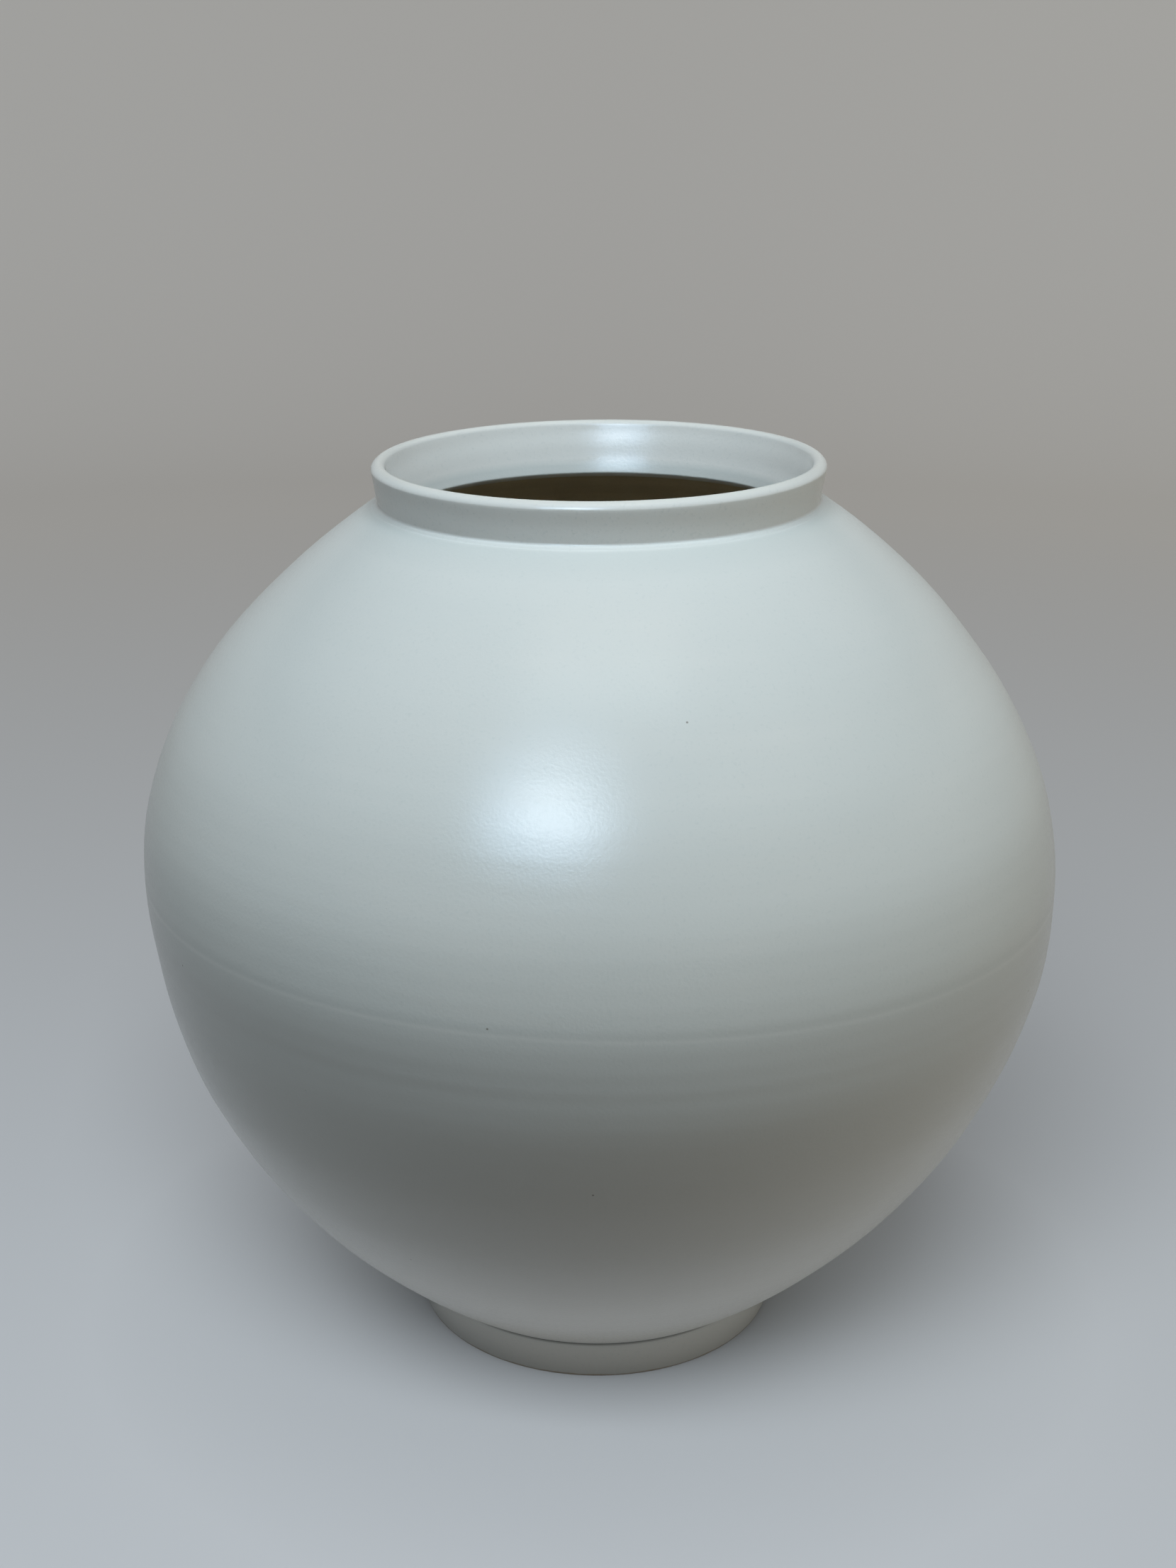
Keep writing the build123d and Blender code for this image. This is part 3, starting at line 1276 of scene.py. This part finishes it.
@dataclass
class Studio:
    """Round sweep of paper under soft light from above, with lamps that mirror as the highlight.

    The jar and the paper have lamps of their own. The highlight is a flat-bottomed pane, a round glow
    above it and a brighter core.
    """

    hub_radius: float = 0.02
    floor_radius: float = 2.0
    sweep_radius: float = 0.6
    wall_height: float = 1.2
    segments: int = 96
    aim: Colour = (0.0, 0.0, 0.25)
    lamps: tuple[Softbox, ...] = (
        Softbox("overhead", 0.0, 80.0, 2.2, (1.4, 0.5), 9.4, (1.0, 0.81, 0.68), Reach.SHADE),
        Softbox("high_front", 0.0, 70.0, 2.2, (1.4, 0.5), 33.6, (0.725, 0.905, 1.0), Reach.SHADE),
        Softbox("low_front", 0.0, 10.0, 2.2, (1.4, 0.6), 0.5, (1.0, 1.0, 1.0), Reach.SHADE),
        Softbox("highlight_pane", -15.5, 37.8, 2.6, (1.25, 0.85), 13.7, BLUE, Reach.GLOSS),
        Softbox("highlight_glow", -14.0, 45.0, 2.6, (1.5, 1.5), 13.0, BLUE, Reach.GLOSS, Shape.ROUND),
        Softbox("highlight_core", -13.0, 43.2, 2.6, (0.8, 0.8), 8.6, PALE_BLUE, Reach.GLOSS, Shape.ROUND),
        Softbox("paper_light", -8.0, 46.0, 2.2, (1.4, 1.15), 54.0, (0.94, 0.98, 1.0), Reach.PAPER),
    )
    sky_colour: Colour = (0.93, 0.98, 1.0)
    sky_strength: float = 0.005

    def build(self, pieces: list[bpy.types.Object]) -> None:
        """Builds the sweep, the lamps and the sky.

        Args:
            pieces: the jar's pieces, which have lamps of their own.
        """
        jar = bpy.data.collections.new("lit_jar")
        for piece in pieces:
            jar.objects.link(piece)
        paper = bpy.data.collections.new("lit_paper")
        paper.objects.link(self.sweep())
        for lamp in self.lamps:
            lamp.build(Vector(self.aim), paper if lamp.reach is Reach.PAPER else jar)
        self.sky()

    def sweep(self) -> bpy.types.Object:
        """Floor and backdrop: a profile (flat, quarter arc, upright) turned about Z.

        A vertex is at (r cos a, r sin a, z) for each profile point (r, z) and each angle a.

        Returns:
            The sweep's object.
        """
        flat = straight((self.hub_radius, 0.0), (self.floor_radius, 0.0), 12)
        bend = arc((self.floor_radius, self.sweep_radius), self.sweep_radius, -90.0, 0.0, 16)
        side = self.floor_radius + self.sweep_radius
        upright = straight((side, self.sweep_radius), (side, self.wall_height), 4)
        profile = np.concatenate([flat, bend[1:], upright[1:]])
        turn = np.arange(self.segments) * FULL_TURN / self.segments
        ring = np.column_stack([np.cos(turn), np.sin(turn), np.ones_like(turn)])
        place = profile[:, [0, 0, 1]][:, None, :] * ring[None, :, :]
        index = np.arange(len(profile) * self.segments).reshape(len(profile), self.segments)
        near = np.roll(index, -1, axis=1)
        quads = np.stack([index[:-1], index[1:], near[1:], near[:-1]], axis=-1).reshape(-1, 4)
        mesh = smooth_mesh("studio_sweep", place.reshape(-1, 3), [*quads.tolist(), index[0].tolist()])
        mesh.materials.append(StudioFinish().material())
        floor = stand("studio_sweep", mesh)
        return floor

    def sky(self) -> None:
        """Even dim sky over the sweep."""
        world = bpy.data.worlds.new("sky")
        world.use_nodes = True
        background = world.node_tree.nodes["Background"]
        background.inputs["Color"].default_value = (*self.sky_colour, 1.0)
        background.inputs["Strength"].default_value = self.sky_strength
        bpy.context.scene.world = world


@dataclass(frozen=True)
class PhotoCamera:
    """Camera at the photograph's place: a little above the mouth, looking down at the belly."""

    place: Colour = (0.0, -0.9118, 0.5661)
    look_down: float = 19.05
    look_right: float = -0.31
    roll: float = -0.27
    focal_length: float = 3067.0
    frame_height: float = 2212.0
    sensor: float = 36.0

    def build(self) -> None:
        """Makes the camera; focal_length and frame_height are in the photograph's pixels."""
        data = bpy.data.cameras.new("photo_camera")
        data.sensor_width = self.sensor
        data.lens = self.focal_length / self.frame_height * self.sensor
        camera = stand("photo_camera", data)
        pan = Matrix.Rotation(math.radians(-self.look_right), 4, "Z")
        tilt = Matrix.Rotation(math.radians(90.0 - self.look_down), 4, "X")
        roll = Matrix.Rotation(math.radians(-self.roll), 4, "Z")
        camera.matrix_world = Matrix.Translation(self.place) @ pan @ tilt @ roll
        bpy.context.scene.camera = camera


@dataclass
class MoonJar:
    """The whole jar: its pieces in order from the foot up."""

    levels: JarLevels

    def pieces(self) -> list[ClayPiece]:
        """Lists the pieces.

        Returns:
            The pieces from the foot up.
        """
        levels = self.levels
        foot = FootRing(levels)
        collar = NeckCollar(levels)
        lower = LowerBowl(levels, root_radius=foot.root_radius)
        upper = UpperBowl(levels, collar=collar)
        foot_bed = FlatBed(
            levels,
            node="foot_slip",
            below=(foot.root_radius, levels.foot_edge_radius),
            above=(foot.root_radius, levels.base_radius),
            low=levels.foot_top,
            high=levels.base,
        )
        neck_bed = FlatBed(
            levels,
            node="neck_slip",
            below=(collar.bore_radius(levels.mouth), levels.mouth_radius),
            above=(collar.seat_inside[0], collar.seat_outside[0]),
            low=levels.mouth,
            high=levels.collar,
        )
        return [foot, foot_bed, lower, BellyBed(levels), upper, neck_bed, collar]

    def build(self) -> list[bpy.types.Object]:
        """Turns, dresses and reports every piece.

        Returns:
            The pieces from the foot up.
        """
        lathe = Lathe(PottersHand(self.levels))
        # painted shade beside the seam, a little stronger on the slip
        slip = GlazeFinish("glazed_slip", self.levels, seam_shade=Band(0.0026, 0.0030, 0.14))
        glazes = {
            Slot.GLAZE: GlazeFinish("satin_glaze", self.levels).material(),
            Slot.SLIP: slip.material(),
        }
        wash = WashFinish().material()
        clay = ClayFinish().material()
        made = []
        for part in self.pieces():
            piece = part.build(lathe)
            made.append(piece)
            part.dress(piece, {Skin.GLAZED: glazes[part.slot], Skin.WASHED: wash, Skin.JOINT: clay})
            LOG.info("%s: %d faces for %s", piece.name, len(piece.data.polygons), part.node)
        return made


def main() -> None:
    """Builds the jar, the studio and the camera."""
    logging.basicConfig(level=logging.INFO, format="%(name)s: %(message)s")
    bpy.context.scene.view_settings.view_transform = "Standard"
    pieces = MoonJar(JarLevels.from_frame()).build()
    Studio().build(pieces)
    PhotoCamera().build()


if __name__ == "__main__":
    main()
